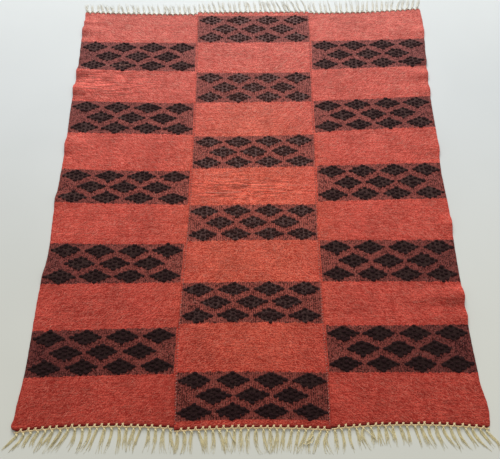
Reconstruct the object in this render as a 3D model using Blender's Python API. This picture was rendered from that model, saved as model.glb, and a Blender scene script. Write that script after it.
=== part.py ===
"""Flat-woven wool rug: three narrow strips sewn side by side, with a knotted fringe at both ends.

Metres, +Z up. The rug lies on z = 0 with its length along Y and its far end at +Y.
"""
import random
from collections import namedtuple

import bmesh
import bpy

# Driving sizes
HALF_LENGTH = 0.926       # middle of the rug to its longest fringe tips
HALF_WIDTH = 0.776        # middle of the rug to the tips that splay out at its corners
CLOTH_THICKNESS = 0.003
PIECE_GAP = 0.0003        # between pieces that meet

# Grid of a strip: its lines fall on the lozenges' middles and tips
HALF_PITCHES = 8          # half lozenge pitches across a strip
LOZENGE_ROWS = 3          # rows of lozenges in a block
FIELD_STEP = 0.020        # length of a grid row in the plain cloth
WIDE_ROW = (1, 3, 5, 7)   # grid columns of the lozenges in a block's first and last row
NARROW_ROW = (2, 4, 6)    # and in its middle row

# Relief of the knotted lozenges
LOZENGE_HEIGHT = 0.0026   # to the rim of its top
LOZENGE_CROWN = 0.0008    # from the rim to the middle of its top
LOZENGE_SLOPE = 0.005

# Fringe
LOCKS_PER_STRIP = 22
BACKING_WIDTH = 0.005
ROOT_WIDTH = 0.008
LENGTH_SPREAD = 0.004     # how far a tip lies from the mean line of tips
LEAN_SPREAD = 0.0025
SEED = 7

# Lines along the rug: at each place along Y, the two selvedges and the two joins
Station = namedtuple("Station", "along left_selvedge left_join right_join right_selvedge")
STATIONS = (
    Station(0.88, -0.739, -0.238, 0.256, 0.752),
    Station(0.80, -0.739, -0.236, 0.257, 0.756),
    Station(0.70, -0.735, -0.234, 0.257, 0.751),
    Station(0.54, -0.732, -0.231, 0.253, 0.739),
    Station(0.37, -0.735, -0.229, 0.251, 0.735),
    Station(0.20, -0.731, -0.228, 0.250, 0.735),
    Station(0.05, -0.732, -0.230, 0.248, 0.729),
    Station(-0.10, -0.735, -0.232, 0.246, 0.734),
    Station(-0.27, -0.730, -0.238, 0.244, 0.732),
    Station(-0.42, -0.740, -0.244, 0.246, 0.733),
    Station(-0.58, -0.741, -0.248, 0.248, 0.735),
    Station(-0.72, -0.744, -0.248, 0.252, 0.742),
    Station(-0.80, -0.752, -0.245, 0.251, 0.754),
    Station(-0.88, -0.746, -0.243, 0.250, 0.745),
)

# Each strip lies between two of those lines, with the gap of a join shared by both sides
Strip = namedtuple("Strip", "left_line right_line left_gap right_gap")
STRIPS = {
    "left": Strip("left_selvedge", "left_join", 0.0, PIECE_GAP / 2),
    "centre": Strip("left_join", "right_join", PIECE_GAP / 2, PIECE_GAP / 2),
    "right": Strip("right_join", "right_selvedge", PIECE_GAP / 2, 0.0),
}

# Ends of each strip: Y at its left side, middle and right side
End = namedtuple("End", "strip end left middle right")
ENDS = (
    End("left", "far", 0.853, 0.842, 0.839),
    End("centre", "far", 0.849, 0.850, 0.851),
    End("right", "far", 0.845, 0.847, 0.864),
    End("left", "near", -0.862, -0.845, -0.850),
    End("centre", "near", -0.858, -0.848, -0.854),
    End("right", "near", -0.851, -0.839, -0.850),
)

# Dark blocks: Y of the far and the near edge, at the strip's left and right side
Block = namedtuple("Block", "strip far_left far_right near_left near_right")
BLOCKS = (
    Block("left", 0.685, 0.674, 0.537, 0.528),
    Block("left", 0.379, 0.366, 0.231, 0.219),
    Block("left", 0.067, 0.055, -0.075, -0.086),
    Block("left", -0.239, -0.240, -0.387, -0.382),
    Block("left", -0.553, -0.542, -0.699, -0.690),
    Block("centre", 0.829, 0.829, 0.682, 0.683),
    Block("centre", 0.518, 0.517, 0.372, 0.376),
    Block("centre", 0.208, 0.216, 0.067, 0.076),
    Block("centre", -0.091, -0.086, -0.230, -0.224),
    Block("centre", -0.387, -0.380, -0.523, -0.519),
    Block("centre", -0.685, -0.687, -0.829, -0.829),
    Block("right", 0.682, 0.694, 0.538, 0.556),
    Block("right", 0.374, 0.398, 0.230, 0.251),
    Block("right", 0.076, 0.089, -0.072, -0.059),
    Block("right", -0.230, -0.225, -0.379, -0.379),
    Block("right", -0.536, -0.532, -0.682, -0.681),
)

# Ripples in the outer strips: place along Y, half their length along Y, height at the
# selvedge, how far in they reach, and how far the crest moves along Y per metre inward
Ripple = namedtuple("Ripple", "strip along half_length height reach slant")
RIPPLES = (
    Ripple("left", 0.755, 0.045, 0.006, 0.12, 0.0),
    Ripple("left", 0.525, 0.034, 0.012, 0.20, 0.05),
    Ripple("left", 0.436, 0.038, 0.013, 0.22, 0.0),
    Ripple("left", 0.170, 0.050, 0.009, 0.17, 0.1),
    Ripple("left", -0.065, 0.045, 0.006, 0.12, 0.0),
    Ripple("left", -0.360, 0.050, 0.005, 0.12, 0.0),
    Ripple("right", 0.580, 0.040, 0.008, 0.12, 0.0),
    Ripple("right", 0.508, 0.034, 0.010, 0.15, 0.0),
    Ripple("right", 0.428, 0.034, 0.008, 0.13, 0.0),
    Ripple("right", 0.155, 0.050, 0.009, 0.14, 0.0),
    Ripple("right", -0.165, 0.045, 0.010, 0.14, 0.0),
    Ripple("right", -0.430, 0.038, 0.015, 0.32, -0.05),
    Ripple("right", -0.503, 0.034, 0.008, 0.15, 0.0),
)

# Fringes: sideways lean of the tips and reach past the cloth, at places evenly spaced from the
# strip's left side to its right side
Fringe = namedtuple("Fringe", "strip end leans reaches")
FRINGES = (
    Fringe("left", "far", (-0.008, -0.018, -0.010, -0.012, -0.012), (0.052, 0.055, 0.056, 0.062)),
    Fringe("centre", "far", (-0.014, -0.010, -0.008, -0.020, -0.020), (0.064, 0.070, 0.074)),
    Fringe("right", "far", (-0.010, -0.002, 0.006, 0.012, 0.018), (0.074, 0.076, 0.064)),
    Fringe("left", "near", (-0.040, -0.012, -0.008, -0.004, -0.003), (0.050, 0.072, 0.074, 0.072)),
    Fringe("centre", "near", (-0.002, -0.002, 0.002, -0.004, 0.0), (0.070, 0.074, 0.070)),
    Fringe("right", "near", (0.0, 0.002, 0.006, 0.040, 0.040), (0.074, 0.062, 0.060, 0.068, 0.058)),
)

# Sections of a lock from its root to its tip: share of the reach and of the lean, and size
Section = namedtuple("Section", "reach_share lean_share width thickness")
LOCK_SECTIONS = (
    Section(0.13, 0.04, 0.011, 0.0065),    # knot
    Section(0.24, 0.12, 0.006, 0.0040),    # neck under the knot
    Section(0.62, 0.55, 0.010, 0.0042),    # loosened yarns
    Section(1.00, 1.00, 0.013, 0.0024),    # tip
)

# Finishes: name, base colour and roughness; a strip's come in the order of its material slots
Look = namedtuple("Look", "colour roughness")
STRIP_FINISHES = (
    ("red_field", Look((0.56, 0.09, 0.06), 0.95)),
    ("dark_ground", Look((0.14, 0.035, 0.03), 0.95)),
    ("black_pile", Look((0.012, 0.009, 0.009), 0.92)),
)
GROUND = 1
PILE = 2
YARN_CREAM = Look((0.62, 0.54, 0.38), 0.92)

Edges = namedtuple("Edges", "left right")


def clear_scene():
    for scene_object in list(bpy.data.objects):
        bpy.data.objects.remove(scene_object, do_unlink=True)


def wool(name, look):
    """A plain Principled material of the given colour and roughness."""
    material = bpy.data.materials.new(name)
    material.use_nodes = True
    shader = material.node_tree.nodes["Principled BSDF"]
    shader.inputs["Base Color"].default_value = (*look.colour, 1.0)
    shader.inputs["Roughness"].default_value = look.roughness
    shader.inputs["Metallic"].default_value = 0.0
    return material


def add_object(name, shape, collection, materials):
    """Turn a bmesh into a named object in the rug's collection."""
    mesh = bpy.data.meshes.new(name)
    shape.to_mesh(mesh)
    shape.free()
    for material in materials:
        mesh.materials.append(material)
    piece = bpy.data.objects.new(name, mesh)
    collection.objects.link(piece)
    return piece


def mix(first, second, share):
    return first + (second - first) * share


def line_at(line, along):
    """X of one of the lengthwise lines, on a smooth curve through the stations."""
    last = len(STATIONS) - 2
    first = 0
    while first < last and along < STATIONS[first + 1].along:
        first += 1
    near_by = [STATIONS[min(max(first + step, 0), len(STATIONS) - 1)] for step in (-1, 0, 1, 2)]
    before, start, stop, after = (getattr(station, line) for station in near_by)
    share = (near_by[1].along - along) / (near_by[1].along - near_by[2].along)
    bend = 2 * before - 5 * start + 4 * stop - after
    twist = 3 * (start - stop) + after - before
    return start + 0.5 * share * (stop - before + share * (bend + share * twist))


def evenly_spaced(values, share):
    """A value between ones that stand at even steps from the left side to the right side."""
    place_between = share * (len(values) - 1)
    first = min(int(place_between), len(values) - 2)
    return mix(values[first], values[first + 1], place_between - first)


def find(rows, **wanted):
    """Rows of a table whose columns have the wanted values."""
    return [row for row in rows if all(getattr(row, key) == value for key, value in wanted.items())]


def strip_lines(strip_name):
    """Grid lines across a strip, far to near, and the lines where its blocks start.

    Each line is a far-to-near place at the left and right side, and a bow in the middle.
    """
    blocks = find(BLOCKS, strip=strip_name)
    far_end = find(ENDS, strip=strip_name, end="far")[0]
    near_end = find(ENDS, strip=strip_name, end="near")[0]
    far_edges = [Edges(block.far_left, block.far_right) for block in blocks]
    near_edges = [Edges(block.near_left, block.near_right) for block in blocks]
    field_starts = [Edges(far_end.left, far_end.right)] + near_edges
    field_stops = far_edges + [Edges(near_end.left, near_end.right)]
    far_bow = far_end.middle - (far_end.left + far_end.right) / 2
    near_bow = near_end.middle - (near_end.left + near_end.right) / 2
    lines = []
    block_starts = []
    for index, (start, stop) in enumerate(zip(field_starts, field_stops)):
        start_bow = far_bow if index == 0 else 0.0
        stop_bow = near_bow if index == len(blocks) else 0.0
        rows = max(1, round((start.left - stop.left) / FIELD_STEP))
        for row in range(rows):
            share = row / rows
            left = mix(start.left, stop.left, share)
            right = mix(start.right, stop.right, share)
            lines.append((left, right, mix(start_bow, stop_bow, share)))
        if index == len(blocks):
            lines.append((stop.left, stop.right, stop_bow))
            break
        block_starts.append(len(lines))
        half_rows = 2 * LOZENGE_ROWS
        for row in range(half_rows):
            share = row / half_rows
            left = mix(stop.left, near_edges[index].left, share)
            right = mix(stop.right, near_edges[index].right, share)
            lines.append((left, right, 0.0))
    return lines, block_starts


def along_at(line, share):
    """Y of a grid line at a share of the strip's width; a bowed line is a parabola."""
    left, right, bow = line
    return mix(left, right, share) + bow * 4 * share * (1 - share)


def across_at(strip_name, along, share):
    """X at a share of the strip's width, for a place along the rug."""
    strip = STRIPS[strip_name]
    left = line_at(strip.left_line, along) + strip.left_gap
    right = line_at(strip.right_line, along) - strip.right_gap
    return mix(left, right, share)


def lift(strip_name, across, along):
    """Height of the cloth's underside over the floor."""
    height = 0.0
    for ripple in find(RIPPLES, strip=strip_name):
        selvedge = line_at(ripple.strip + "_selvedge", along)
        inward = abs(across - selvedge)
        offset = abs(along - ripple.along - ripple.slant * inward) / ripple.half_length
        if inward >= ripple.reach or offset >= 1.0:
            continue
        swell = (1 - offset * offset) ** 2
        fade = (1 - inward / ripple.reach) ** 2
        height += ripple.height * swell * fade
    return height


def place(strip_name, line, share):
    along = along_at(line, share)
    across = across_at(strip_name, along, share)
    return across, along, lift(strip_name, across, along)


def grid_vertices(shape, columns, rows):
    """A flat grid, and its vertices by row, far to near, and column, left to right."""
    made = bmesh.ops.create_grid(shape, x_segments=columns, y_segments=rows, size=1.0)
    vertices = {}
    for vertex in made["verts"]:
        row = round((1 - vertex.co.y) / 2 * rows)
        column = round((vertex.co.x + 1) / 2 * columns)
        vertices[row, column] = vertex
    return vertices


def darken_blocks(shape, vertices, block_starts):
    """Give the grid cells of the blocks the material of the dark ground."""
    for start in block_starts:
        for row in range(start, start + 2 * LOZENGE_ROWS):
            for column in range(HALF_PITCHES):
                ring = ((row, column), (row, column + 1), (row + 1, column + 1), (row + 1, column))
                cell = shape.faces.get([vertices[corner] for corner in ring])
                cell.material_index = GROUND


def cut_lozenge(shape, vertices, row, column):
    """Join the four grid cells round a vertex into one lozenge, and return it."""
    middle = vertices[row, column]
    tips = [
        vertices[row, column - 1],
        vertices[row - 1, column],
        vertices[row, column + 1],
        vertices[row + 1, column],
    ]
    for index, tip in enumerate(tips):
        bmesh.ops.connect_verts(shape, verts=[tip, tips[index - 1]])
    bmesh.ops.dissolve_verts(shape, verts=[middle])
    corners = set(tips)
    return next(face for face in tips[0].link_faces if set(face.verts) == corners)


def cut_lozenges(shape, vertices, block_starts, marks):
    for start in block_starts:
        for number in range(LOZENGE_ROWS):
            columns = NARROW_ROW if number % 2 else WIDE_ROW
            for column in columns:
                lozenge = cut_lozenge(shape, vertices, start + 1 + 2 * number, column)
                lozenge[marks] = 1


def make_strip(strip_name, collection):
    """One woven strip, with its blocks of raised lozenges."""
    lines, block_starts = strip_lines(strip_name)
    shape = bmesh.new()
    marks = shape.faces.layers.int.new("lozenge")
    vertices = grid_vertices(shape, HALF_PITCHES, len(lines) - 1)
    for (row, column), vertex in vertices.items():
        vertex.co = place(strip_name, lines[row], column / HALF_PITCHES)
    darken_blocks(shape, vertices, block_starts)
    cut_lozenges(shape, vertices, block_starts, marks)
    raised = bmesh.ops.extrude_face_region(shape, geom=shape.faces[:])["geom"]
    for part in raised:
        if isinstance(part, bmesh.types.BMVert):
            part.co.z += CLOTH_THICKNESS
    bmesh.ops.recalc_face_normals(shape, faces=shape.faces[:])
    lozenges = [part for part in raised if isinstance(part, bmesh.types.BMFace) and part[marks]]
    sides = bmesh.ops.inset_individual(
        shape,
        faces=lozenges,
        thickness=LOZENGE_SLOPE,
        depth=LOZENGE_HEIGHT,
        use_even_offset=True,
    )
    for face in lozenges + sides["faces"]:
        face.material_index = PILE
    bmesh.ops.poke(shape, faces=lozenges, offset=LOZENGE_CROWN)
    name = "panel_" + strip_name
    materials = [wool(name + "_" + finish, look) for finish, look in STRIP_FINISHES]
    return add_object(name, shape, collection, materials)


def trimmed(across, along):
    """Keep a fringe tip inside the rug's whole length and width."""
    across = min(max(across, -HALF_WIDTH), HALF_WIDTH)
    along = min(max(along, -HALF_LENGTH), HALF_LENGTH)
    return across, along


def edge_along(line, share):
    """Y of a strip's end on the straight grid edges between its columns."""
    column = min(int(share * HALF_PITCHES), HALF_PITCHES - 1)
    left = along_at(line, column / HALF_PITCHES)
    right = along_at(line, (column + 1) / HALF_PITCHES)
    return mix(left, right, share * HALF_PITCHES - column)


def grow_lock(shape, face, root, outward, lean, reach):
    """Extrude one lock from its root face on the backing, section by section."""
    middle, along = root
    for section in LOCK_SECTIONS:
        face = bmesh.ops.extrude_discrete_faces(shape, faces=[face])["faces"][0]
        top = max(vertex.co.z for vertex in face.verts)
        centre = sum(vertex.co.x for vertex in face.verts) / len(face.verts)
        for vertex in face.verts:
            side = 1 if vertex.co.x > centre else -1
            across = middle + lean * section.lean_share + side * section.width / 2
            across, far = trimmed(across, along + outward * reach * section.reach_share)
            height = section.thickness if vertex.co.z > top / 2 else 0.0
            vertex.co = (across, far, height)


def make_fringe(fringe, collection, noise):
    """A narrow backing along one end of a strip, and the locks fused to it."""
    lines = strip_lines(fringe.strip)[0]
    outward = 1 if fringe.end == "far" else -1
    line = lines[0] if fringe.end == "far" else lines[-1]
    width = across_at(fringe.strip, line[0], 1.0) - across_at(fringe.strip, line[0], 0.0)
    half_root = ROOT_WIDTH / width / 2
    shares = [0.0]
    for lock in range(LOCKS_PER_STRIP):
        middle = (lock + 0.5) / LOCKS_PER_STRIP
        shares += [middle - half_root, middle + half_root]
    shares.append(1.0)
    shape = bmesh.new()
    vertices = grid_vertices(shape, len(shares) - 1, 1)
    for (row, column), vertex in vertices.items():
        is_outer = (row == 0) == (outward > 0)
        offset = PIECE_GAP + (BACKING_WIDTH if is_outer else 0.0)
        along = edge_along(line, shares[column])
        across = across_at(fringe.strip, along, shares[column])
        vertex.co = (across, along + outward * offset, 0.0)
    raised = bmesh.ops.extrude_face_region(shape, geom=shape.faces[:])["geom"]
    for part in raised:
        if isinstance(part, bmesh.types.BMVert):
            part.co.z += CLOTH_THICKNESS
    bmesh.ops.recalc_face_normals(shape, faces=shape.faces[:])
    outer_row = 0 if outward > 0 else 1
    for lock in range(LOCKS_PER_STRIP):
        left = vertices[outer_row, 2 * lock + 1]
        right = vertices[outer_row, 2 * lock + 2]
        bottom = shape.edges.get((left, right))
        root_face = next(face for face in bottom.link_faces if abs(face.normal.z) < 0.5)
        share = (lock + 0.5) / LOCKS_PER_STRIP
        lean = evenly_spaced(fringe.leans, share) + noise.uniform(-LEAN_SPREAD, LEAN_SPREAD)
        reach = evenly_spaced(fringe.reaches, share) + noise.uniform(-LENGTH_SPREAD, LENGTH_SPREAD)
        root = ((left.co.x + right.co.x) / 2, (left.co.y + right.co.y) / 2)
        grow_lock(shape, root_face, root, outward, lean, reach - BACKING_WIDTH)
    name = "fringe_" + fringe.end + "_" + fringe.strip
    return add_object(name, shape, collection, [wool(name + "_yarn", YARN_CREAM)])


def build_rug():
    clear_scene()
    collection = bpy.data.collections.new("woven_rug")
    bpy.context.scene.collection.children.link(collection)
    noise = random.Random(SEED)
    for strip_name in STRIPS:
        make_strip(strip_name, collection)
    for fringe in FRINGES:
        make_fringe(fringe, collection, noise)


build_rug()
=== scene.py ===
"""Looks of a flat-woven wool rug: three sewn strips, knotted lozenges and a fringe at both ends."""
import math
import random
from collections import namedtuple

import bpy
import numpy as np
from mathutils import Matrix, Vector, noise


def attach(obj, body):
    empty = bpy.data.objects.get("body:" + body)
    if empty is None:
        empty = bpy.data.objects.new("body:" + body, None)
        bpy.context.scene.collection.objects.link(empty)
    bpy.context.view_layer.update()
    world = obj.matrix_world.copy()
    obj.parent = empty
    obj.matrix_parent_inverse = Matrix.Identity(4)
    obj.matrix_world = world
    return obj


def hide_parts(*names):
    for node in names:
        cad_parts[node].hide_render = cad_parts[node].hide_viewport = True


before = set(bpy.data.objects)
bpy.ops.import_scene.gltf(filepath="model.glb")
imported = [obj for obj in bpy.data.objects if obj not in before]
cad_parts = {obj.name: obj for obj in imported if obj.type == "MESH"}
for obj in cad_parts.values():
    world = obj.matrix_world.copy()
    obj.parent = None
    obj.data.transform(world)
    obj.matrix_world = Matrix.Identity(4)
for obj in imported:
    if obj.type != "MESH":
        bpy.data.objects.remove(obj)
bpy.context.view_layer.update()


def metres(value):
    """Sizes in mm, nested or not, as metres; names stay as they are."""
    if isinstance(value, tuple):
        return tuple(metres(part) for part in value)
    return value if isinstance(value, str) else value / 1000


def table(columns, *rows):
    """Rows with named columns, whose sizes are written in mm and kept in metres."""
    row_kind = namedtuple("Row", columns)
    return [row_kind(*metres(row)) for row in rows]


# Camera: lens and place solved from the rug's four corners
SENSOR = 36.0
FOCAL_PIXELS = 460.0
PHOTO_WIDTH = 500.0
CAMERA_PLACE = (0.0037, -0.7832, 1.5745)
CAMERA_TURN = (20.815, 0.282, 0.0096)

# Sizes in metres and counts that the solids share
THICKNESS = 0.003
PIECE_GAP = 0.0003
HALF_PITCHES = 8
LOZENGE_ROWS = 3
HALF_LENGTH = 0.926
HALF_WIDTH = 0.776
LOCKS_PER_STRIP = 22
LOCK_SEED = 7
LENGTH_SPREAD = 0.004
LEAN_SPREAD = 0.0025

# Lines along the rug: at each place along Y, X of the two selvedges and the two joins
STATIONS = table(
    "along left_selvedge left_join right_join right_selvedge",
    (880, -742, -238, 256, 752),
    (800, -734, -236, 257, 756),
    (700, -737, -234, 257, 751),
    (540, -732, -231, 253, 739),
    (370, -735, -229, 251, 735),
    (200, -731, -228, 250, 735),
    (50, -732, -230, 248, 729),
    (-100, -735, -232, 246, 734),
    (-270, -730, -238, 244, 732),
    (-420, -740, -244, 246, 733),
    (-580, -741, -248, 248, 735),
    (-720, -744, -248, 252, 742),
    (-800, -752, -245, 251, 754),
    (-880, -746, -243, 250, 745),
)

# Each strip lies between two of those lines
Strip = namedtuple("Strip", "left_line right_line left_gap right_gap")
STRIPS = {
    "left": Strip("left_selvedge", "left_join", 0.0, PIECE_GAP / 2),
    "centre": Strip("left_join", "right_join", PIECE_GAP / 2, PIECE_GAP / 2),
    "right": Strip("right_join", "right_selvedge", PIECE_GAP / 2, 0.0),
}

# Ends of each strip: Y at its left side, middle and right side
ENDS = table(
    "strip end left middle right",
    ("left", "far", 853, 842, 839),
    ("centre", "far", 849, 850, 851),
    ("right", "far", 845, 848, 868),
    ("left", "near", -864, -847, -852),
    ("centre", "near", -860, -850, -856),
    ("right", "near", -853, -841, -852),
)

# Dark blocks: Y of the far and the near edge, at the strip's left and right side, and how far
# each edge bows up in the middle
BLOCKS = table(
    "strip far_left far_right near_left near_right far_bow near_bow",
    ("left", 685, 675, 537, 528, -2, 0),
    ("left", 377, 363, 231, 219, 0, 0),
    ("left", 64, 53, -75, -85, -3, 0),
    ("left", -239, -242, -388, -382, -3, 0),
    ("left", -555, -541, -701, -689, 0, 2),
    ("centre", 829, 829, 682, 683, -2, -2),
    ("centre", 518, 517, 370, 375, -2, 0),
    ("centre", 206, 215, 67, 76, -2, 0),
    ("centre", -92, -88, -231, -226, 2, 4),
    ("centre", -388, -383, -526, -524, 2, 4),
    ("centre", -688, -689, -834, -831, 4, 5),
    ("right", 682, 694, 536, 554, 0, -1),
    ("right", 374, 396, 227, 251, -2, 4),
    ("right", 75, 87, -73, -60, 0, 1),
    ("right", -229, -228, -378, -380, -1, 0),
    ("right", -536, -533, -683, -685, 0, 0),
)

# Ripples in the outer strips: place along Y, half their length along Y, height at the
# selvedge, how far in they reach, and how far the crest moves along Y for each metre inward
RIPPLES = table(
    "strip along half_length height reach slant",
    ("left", 790, 20, 10, 120, 0),
    ("left", 747, 36, 13, 150, 0),
    ("left", 525, 34, 13, 220, 50),
    ("left", 436, 36, 15, 260, 0),
    ("left", 170, 50, 11, 170, 100),
    ("left", -65, 40, 9, 150, 0),
    ("left", -360, 50, 6, 120, 0),
    ("left", -850, 24, 7, 24, 0),
    ("right", 740, 30, 6, 100, 0),
    ("right", 580, 40, 9, 120, 0),
    ("right", 508, 34, 11, 170, 0),
    ("right", 428, 34, 9, 150, 0),
    ("right", 155, 50, 10, 140, 0),
    ("right", -165, 45, 11, 140, 0),
    ("right", -430, 38, 16, 320, -50),
    ("right", -503, 34, 9, 150, 0),
)

# Fringes: sideways lean of the tips and reach past the cloth, at places evenly spaced from the
# strip's left side to its right side
FRINGES = table(
    "strip end leans reaches",
    ("left", "far", (-8, -18, -10, -12, -12), (52, 55, 56, 62)),
    ("centre", "far", (-14, -10, -8, -20, -20), (64, 70, 74)),
    ("right", "far", (-10, -2, 6, 12, 18), (74, 76, 64)),
    ("left", "near",
     (-47, -36, -30, -10, -20, -21, -32, -43, -12, -15, -17,
      -23, -11, -8, 2, -3, -9, -10, -3, -4, 9, 17),
     (50, 66, 72, 74, 72)),
    ("centre", "near",
     (-1, -3, -5, 20, 0, 2, 18, 0, -2, -2, 3, 20,
      6, -11, -8, -12, -13, -20, -15, -13, 8),
     (70, 74, 70)),
    ("right", "near",
     (0, 0, 4, 4, 13, 15, 10, 4, 2, 6, 10, 12, 20,
      27, 20, 25, 27, 31, 36, 48, 33, 40),
     (74, 62, 60, 68, 58)),
)

# Yarns of the near fringe that lie loose across their neighbours: places along each, in mm
STRAYS = {
    "left": (((-600, -858), (-604, -878), (-622, -898)),),
    "centre": (
        ((189, -864), (196, -879), (190, -893), (172, -899), (159, -896)),
        ((193, -873), (184, -884), (168, -892)),
        ((-68, -862), (-60, -880), (-47, -896)),
    ),
    "right": (
        ((350, -851), (366, -864), (388, -885)),
        ((430, -852), (441, -870), (444, -888)),
    ),
}

# Single threads that stand out of the cloth: middle, length, turn in degrees and radius;
# loose fibres are short threads that are strewn at random
Thread = namedtuple("Thread", "strip across along length turn radius")
THREADS = (
    Thread("centre", -0.104, -0.035, 0.141, 0.5, 0.001),
    Thread("centre", -0.135, 0.036, 0.09, -3.0, 0.0007),
    Thread("centre", -0.06, 0.018, 0.11, -2.0, 0.0004),
    Thread("centre", 0.117, -0.006, 0.23, 0.0, 0.0005),
    Thread("left", -0.679, -0.537, 0.007, 65.0, 0.0013),
    Thread("left", -0.56, 0.56, 0.12, 1.0, 0.0005),
)
FIBRES_PER_STRIP = 2400
FIBRE_LENGTHS = (0.008, 0.022)
FIBRE_RADIUS = 0.0003
THREAD_STEP = 0.02
LEVEL_FIBRES = 0.35  # share of the fibres that lie along the weft

# Cloth mesh
STRIP_WIDTH = 0.49
GRID_STEP = 0.0055
EDGE_STEPS = (0.0, 0.001, 0.0035, 0.0065)  # columns close to a side, from its edge
FIRST_COLUMN = 0.011
SELVEDGE_ROUNDING = 0.0035
JOIN_ROUNDING = 0.0005
EDGE_THICKNESS = 0.5  # at the very edge, as a share of the thickness
UNDULATION = 0.0014  # soft unevenness of the laid cloth
UNDULATION_SCALE = 9.0  # noise cells for each metre
UNDULATION_SEED = 3.1
PUCKER = 0.0009  # waves that the sewing pulls beside a join
PUCKER_REACH = 0.022
PUCKER_SCALE = 48.0
PUCKER_SEED = 7.7
SELVEDGE_WANDER = 0.0012
WANDER_SCALE = 55.0
WANDER_SEED = 1.3
WANDER_FADE = 12  # the wandering ends a twelfth of the width inward
CORNER_RADII = {("left", "far"): 0.005, ("left", "near"): 0.017,
                ("right", "far"): 0.01, ("right", "near"): 0.009}
CORNER_BULGE = 0.008  # how far the near left corner swings out
BULGE_ALONG = -0.848
BULGE_LENGTH = 0.018

# Knotted lozenges: a slanting lattice of knots of thick black wool
KNOTS_A_SIDE = 4
KNOT_REACH = (0.0072, 0.005)  # half the size of a knot, across and along
KNOT_RISE = 0.0036
KNOT_SIDES = 9
KNOT_RINGS = ((-0.3, 0.88), (0.3, 1.0), (0.78, 0.68))  # height and girth of each, as shares
KNOT_JITTER = 0.0016
LOZENGE_WIDTHS = (0.95, 0.92)  # near and far, as a share of the lattice's width
LOZENGE_LENGTH = 1.12  # as a share of a row of lozenges
BLOCK_MARGIN = 0.006  # how far a block's yarn runs past its lines, in courses
JOIN_MARGIN = 0.008  # red yarn beside a join, as a share of the strip's width
TIP_PULL = 0.07  # how far a lozenge's side tips are drawn in, as a share
RAGGED_ENDS = 0.009  # how far a block's ends tremble, in courses
RAGGED_SIDES = 0.003  # the same for its sides, as a share of the strip's width
RAGGED_LOZENGES = 0.1

# Binding of the ends: distances out from the cloth's end, and in over the cloth
BAND_OUT = {"near": 0.0026, "far": 0.0012}
KNOT_OUT = {"near": 0.0094, "far": 0.0056}
PEAK_IN = 0.0064
BAND_RADIUS = 0.0013
BAND_HEIGHT = 0.0031
TWIST_RADIUS = 0.0008  # how far its two yarns lie from the middle of the twist
HOOK_RADIUS = 0.0016
HOOK_TAPER = (0.6, 0.9, 1.1, 1.2, 1.0)

# Locks of the fringe
ROOTS_PER_LOCK = 4
ROOT_STEP = 0.005
ROOT_RADIUS = 0.001
KNOT_HEIGHT = 0.004
KNOT_LENGTH = 0.0042
KNOT_TAPER = (0.5, 0.95, 1.05, 0.95, 0.5)
YARNS_PER_LOCK = 10
YARN_RADIUS = 0.0008
YARN_TAPER = (1.1, 1.1, 1.0, 1.0, 0.9, 0.75, 0.5, 0.12)
HAIRS_PER_LOCK = 6
HAIR_RADIUS = 0.0003
LOCK_HALF_WIDTH = 0.0034
LOCK_FRAY = 0.0016
LYING_HEIGHT = 0.0007  # of a yarn's middle over the floor
STRAY_RADIUS = 0.0009

# Sewing of the joins
STITCH_SHIFT = 0.004  # from a join to the middle of its stitches
STITCH_RADIUS = 0.0009
STITCH_PITCH = 0.0098
STITCH_SPREAD = 0.0024
SEWN_LENGTH = (0.838, -0.842)

# How the wool of the strips differs: lightness, softness of the flecks, share of upright ribs in
# the blocks, and how light the wool between the knots is
Wool = namedtuple("Wool", "lightness softness upright net")
WOOLS = {
    "left": Wool(-0.02, 0.088, 0.045, 0.5),
    "centre": Wool(0.01, 0.072, 0.09, 1.0),
    "right": Wool(-0.01, 0.088, 0.045, 0.5),
}

# Colours of the wool at the near end, halfway and at the far end; the paler, pinker far end is painted sheen
# and glare of the window's light
FIELD_DEEP = ((0.352, 0.025, 0.018), (0.452, 0.042, 0.029), (0.465, 0.076, 0.06))
FIELD_LIGHT = ((0.685, 0.101, 0.068), (0.895, 0.162, 0.118), (0.85, 0.236, 0.193))
FIELD_LINT = ((0.78, 0.24, 0.17), (0.9, 0.32, 0.25), (0.92, 0.42, 0.35))
GROUND_DARK = ((0.04, 0.009, 0.008), (0.08, 0.02, 0.018), (0.1, 0.031, 0.029))
GROUND_PALE = ((0.3, 0.064, 0.05), (0.49, 0.12, 0.094), (0.42, 0.136, 0.122))
GROUND_LINT = ((0.42, 0.145, 0.11), (0.56, 0.2, 0.16), (0.56, 0.24, 0.21))
RED_LINE = ((0.215, 0.052, 0.041), (0.38, 0.096, 0.077), (0.355, 0.12, 0.106))
UNDER_DARK = ((0.014, 0.007, 0.007), (0.04, 0.02, 0.018), (0.06, 0.034, 0.033))
UNDER_PALE = ((0.026, 0.012, 0.012), (0.19, 0.105, 0.095), (0.26, 0.14, 0.132))
END_SHADE = (0.15, 0.012, 0.01)
PILE_RUST = (0.06, 0.02, 0.017)

# Tints that make the rug's middle paler and darken its selvedges; on the pile the paler middle is painted
# sheen
FIELD_TINT = (1.12, 1.32, 1.14)
GROUND_TINT = (1.2, 1.2, 1.15)
PILE_TINT = (1.75, 1.5, 1.3)
SELVEDGE_TINT = (0.58, 0.62, 0.7)
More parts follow.
